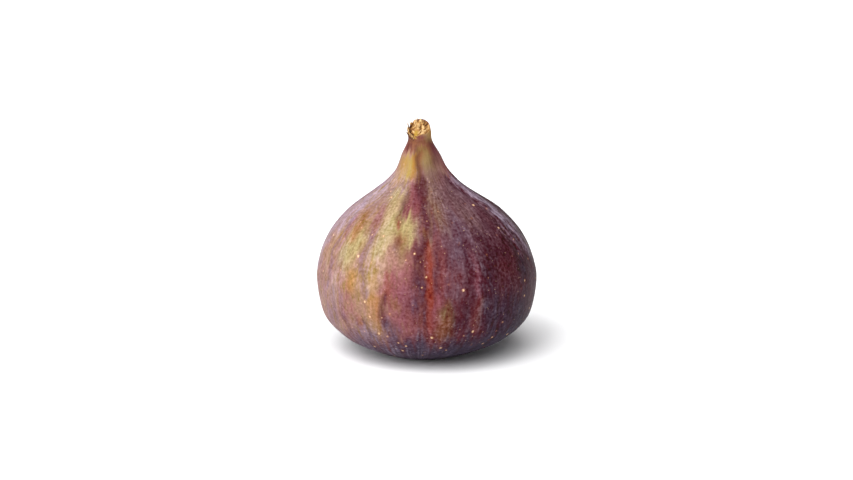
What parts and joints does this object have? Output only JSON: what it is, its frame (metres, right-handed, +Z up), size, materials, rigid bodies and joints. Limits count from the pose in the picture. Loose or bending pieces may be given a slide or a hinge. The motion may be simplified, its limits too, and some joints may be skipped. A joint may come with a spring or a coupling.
{
  "type": "fresh fig",
  "caption": "Whole fresh fig with a squat fluted body, a tapering neck, a broken stalk end and an eye under its base; it stands upright on a pressed flat base.",
  "frame": {"origin": "on the surface that the fig rests on, under the middle of the fig's box", "axes": "+Z up from the eye to the stalk; -Y is the front, with the long furrow and the broken stalk end; +X is to the right of the front"},
  "size_m": [0.052, 0.052, 0.0554],
  "materials": {
    "fig_skin": "satin purple-brown fig skin with yellow-green and brick-red streaks, pale specks and a faint waxy bloom"
  },
  "bodies": {
    "root": {"fig": "fig_skin"}
  },
  "joints": []
}
